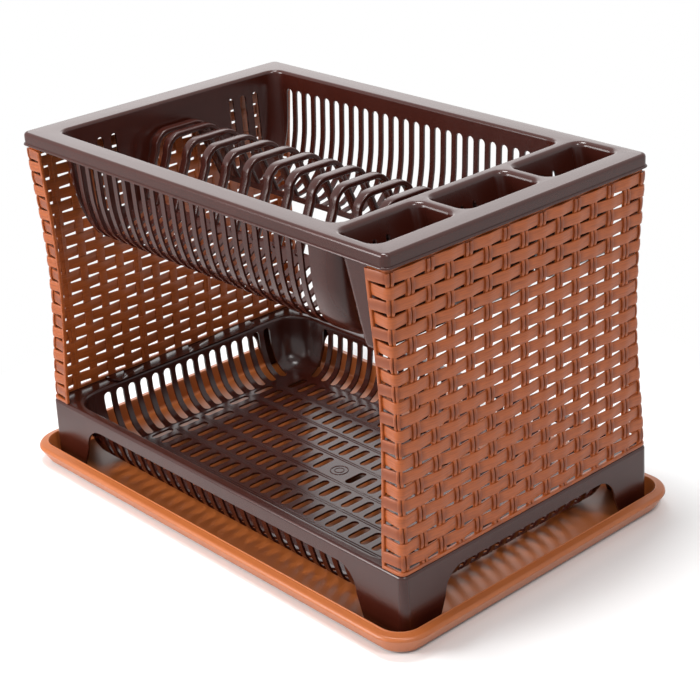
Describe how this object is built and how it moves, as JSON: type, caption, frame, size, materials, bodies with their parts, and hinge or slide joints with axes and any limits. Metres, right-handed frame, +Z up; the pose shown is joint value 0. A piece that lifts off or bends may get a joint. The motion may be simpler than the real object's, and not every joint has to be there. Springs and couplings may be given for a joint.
{
  "type": "two-tier dish rack",
  "caption": "Two-tier plastic dish rack: slotted upper basket with plate arches and cutlery cups on woven-look side panels, over a slotted lower basket standing in a drip tray.",
  "frame": {"origin": "centre of the drip tray's footprint, on the surface it stands on", "axes": "+X along the rack towards the cutlery cups, +Y from its open front to its open back, +Z up"},
  "size_m": [0.522, 0.35, 0.333],
  "materials": {
    "tray_plastic": "smooth injection-moulded caramel polypropylene",
    "lower_basket_plastic": "glossy injection-moulded dark brown polypropylene",
    "left_panel_plastic": "imitation rattan texture in caramel polypropylene",
    "right_panel_plastic": "imitation rattan texture in caramel polypropylene",
    "upper_basket_plastic": "glossy injection-moulded dark brown polypropylene",
    "plate_arch_plastic": "glossy injection-moulded dark brown polypropylene",
    "cutlery_cup_plastic": "glossy injection-moulded dark brown polypropylene"
  },
  "bodies": {
    "tray": {"drip_tray": "tray_plastic"},
    "rack": {"lower_basket": "lower_basket_plastic", "left_panel": "left_panel_plastic", "right_panel": "right_panel_plastic"},
    "top_basket": {"upper_basket": "upper_basket_plastic", "plate_arch_01": "plate_arch_plastic", "plate_arch_02": "plate_arch_plastic", "plate_arch_03": "plate_arch_plastic", "plate_arch_04": "plate_arch_plastic", "plate_arch_05": "plate_arch_plastic", "plate_arch_06": "plate_arch_plastic", "plate_arch_07": "plate_arch_plastic", "plate_arch_08": "plate_arch_plastic", "plate_arch_09": "plate_arch_plastic", "plate_arch_10": "plate_arch_plastic", "plate_arch_11": "plate_arch_plastic", "plate_arch_12": "plate_arch_plastic", "plate_arch_13": "plate_arch_plastic", "plate_arch_14": "plate_arch_plastic", "front_cutlery_cup": "cutlery_cup_plastic", "middle_cutlery_cup": "cutlery_cup_plastic", "back_cutlery_cup": "cutlery_cup_plastic"}
  },
  "joints": [
    {"name": "rack_lift", "type": "slide", "parent": "tray", "child": "rack", "axis": [0, 0, 1], "range_m": [0, 0.06]},
    {"name": "top_basket_lift", "type": "slide", "parent": "rack", "child": "top_basket", "axis": [0, 0, 1], "range_m": [0, 0.14]}
  ]
}
